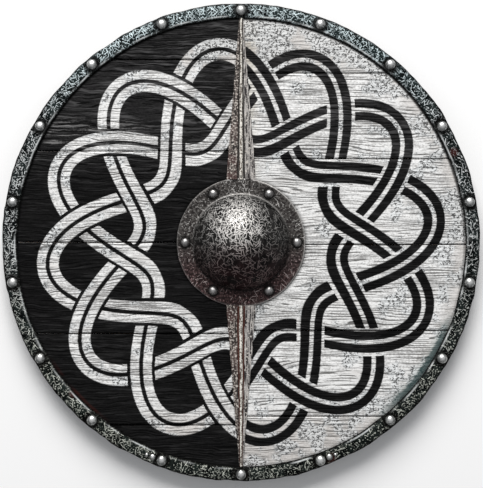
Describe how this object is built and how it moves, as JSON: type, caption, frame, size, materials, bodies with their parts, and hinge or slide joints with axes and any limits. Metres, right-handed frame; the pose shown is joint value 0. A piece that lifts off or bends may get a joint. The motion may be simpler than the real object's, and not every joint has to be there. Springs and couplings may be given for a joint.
{
  "type": "wooden round shield",
  "caption": "Round plank shield, half black and half white, with a riveted steel rim, a domed steel boss over the hand hole, a tapered spine and a wooden grip bar between battens behind.",
  "frame": {"origin": "under the middle of the shield, on the surface that its grip bar and battens lie on", "axes": "+Z out of the painted face, the way the boss bulges; +Y to the top of the shield along the spine; +X to the right of the face, the white half"},
  "size_m": [0.61, 0.61, 0.0783],
  "materials": {
    "black_painted_wood": "thin worn black paint, grain showing",
    "white_painted_wood": "weathered off-white paint, grey grain",
    "spine_wood": "rough dark stain with a pale ridge",
    "rim_steel": "dark, hammered and scratched",
    "boss_steel": "dark patina, finely scratched",
    "rivet_steel": "dark polished",
    "bare_wood": "bare, handled"
  },
  "bodies": {
    "root": {"plank_left_1": "black_painted_wood", "plank_left_2": "black_painted_wood", "plank_left_3": "black_painted_wood", "plank_left_4": "black_painted_wood", "plank_left_5": "black_painted_wood", "plank_left_6": "black_painted_wood", "plank_right_1": "white_painted_wood", "plank_right_2": "white_painted_wood", "plank_right_3": "white_painted_wood", "plank_right_4": "white_painted_wood", "plank_right_5": "white_painted_wood", "plank_right_6": "white_painted_wood", "spine_upper": "spine_wood", "spine_lower": "spine_wood", "rim_strip_1": "rim_steel", "rim_strip_2": "rim_steel", "rim_strip_3": "rim_steel", "rim_rivet_01": "rivet_steel", "rim_rivet_02": "rivet_steel", "rim_rivet_03": "rivet_steel", "rim_rivet_04": "rivet_steel", "rim_rivet_05": "rivet_steel", "rim_rivet_06": "rivet_steel", "rim_rivet_07": "rivet_steel", "rim_rivet_08": "rivet_steel", "rim_rivet_09": "rivet_steel", "rim_rivet_10": "rivet_steel", "rim_rivet_11": "rivet_steel", "rim_rivet_12": "rivet_steel", "rim_rivet_13": "rivet_steel", "rim_rivet_14": "rivet_steel", "rim_rivet_15": "rivet_steel", "rim_rivet_16": "rivet_steel", "rim_rivet_17": "rivet_steel", "rim_rivet_18": "rivet_steel", "rim_nail_1": "rivet_steel", "rim_nail_2": "rivet_steel", "rim_nail_3": "rivet_steel", "rim_nail_4": "rivet_steel", "boss": "boss_steel", "boss_rivet_01": "rivet_steel", "boss_rivet_02": "rivet_steel", "boss_rivet_03": "rivet_steel", "boss_rivet_04": "rivet_steel", "boss_rivet_05": "rivet_steel", "boss_rivet_06": "rivet_steel", "grip_bar": "bare_wood", "batten_left": "bare_wood", "batten_right": "bare_wood"}
  },
  "joints": []
}
